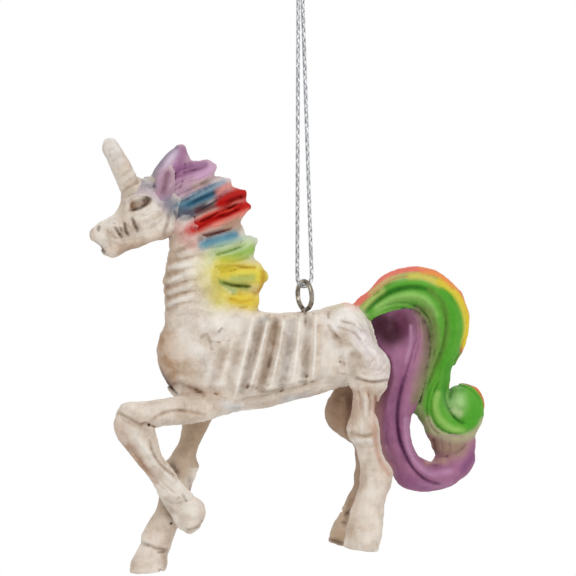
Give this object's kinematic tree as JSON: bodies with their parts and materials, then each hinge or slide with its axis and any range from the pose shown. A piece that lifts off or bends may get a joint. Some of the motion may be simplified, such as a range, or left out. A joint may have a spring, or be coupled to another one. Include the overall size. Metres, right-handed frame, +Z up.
{
  "type": "unicorn figurine",
  "caption": "Hanging ornament: a cast skeleton unicorn with a rainbow mane and tail, a screw eye in its back and a metallic cord loop.",
  "frame": {"origin": "point where the cord loop hangs, right under its knot", "axes": "+Z up along the hanging loop, nose towards -X, displayed left flank towards -Y"},
  "size_m": [0.0951, 0.02, 0.1427],
  "materials": {
    "bone_resin": "matte, brown wash in the creases",
    "shaded_resin": "matte, darker brown wash",
    "lilac_resin": "matte airbrushed lilac",
    "blue_resin": "matte airbrushed grey blue",
    "red_resin": "satin airbrushed red",
    "teal_resin": "matte airbrushed teal",
    "leaf_resin": "matte airbrushed leaf green",
    "yellow_resin": "matte airbrushed yellow",
    "green_resin": "satin airbrushed green",
    "coral_resin": "satin airbrushed coral to yellow",
    "purple_resin": "satin airbrushed purple",
    "steel_wire": "bright nickel-plated wire",
    "silver_cord": "metallic thread braid"
  },
  "bodies": {
    "cord": {"hanging_cord": "silver_cord", "cord_knot": "silver_cord"},
    "eye": {"screw_eye": "steel_wire"},
    "figurine": {"chest_and_barrel": "bone_resin", "pelvis": "bone_resin", "neck": "bone_resin", "skull": "bone_resin", "jaw": "bone_resin", "horn": "bone_resin", "left_ear": "lilac_resin", "right_ear": "lilac_resin", "mane_crest": "lilac_resin", "mane_lilac_lock": "lilac_resin", "mane_blue_lock": "blue_resin", "mane_red_upper_lock": "red_resin", "mane_red_lower_lock": "red_resin", "mane_teal_lock": "teal_resin", "mane_green_lock": "leaf_resin", "mane_yellow_upper_lock": "yellow_resin", "mane_yellow_lower_lock": "yellow_resin", "left_forearm": "bone_resin", "left_fore_cannon": "bone_resin", "left_fore_hoof": "bone_resin", "right_forearm": "shaded_resin", "right_fore_cannon": "bone_resin", "right_fore_hoof": "bone_resin", "left_thigh": "bone_resin", "left_gaskin": "bone_resin", "left_hind_cannon": "bone_resin", "left_hind_hoof": "bone_resin", "right_thigh": "shaded_resin", "right_gaskin": "shaded_resin", "right_hind_cannon": "shaded_resin", "right_hind_hoof": "shaded_resin", "tail_green_lock": "green_resin", "tail_rim_lock": "coral_resin", "tail_purple_lock": "purple_resin"}
  },
  "joints": [
    {"name": "ring_swing", "type": "hinge", "parent": "cord", "child": "eye", "pos_m": [0, 0, -0.0675], "axis": [-0.165, 0.9863, 0], "range_deg": [-30, 20]},
    {"name": "shank_turn", "type": "hinge", "parent": "eye", "child": "figurine", "pos_m": [0, 0, -0.074], "axis": [0, 0, 1], "range_deg": [-90, 90]}
  ]
}
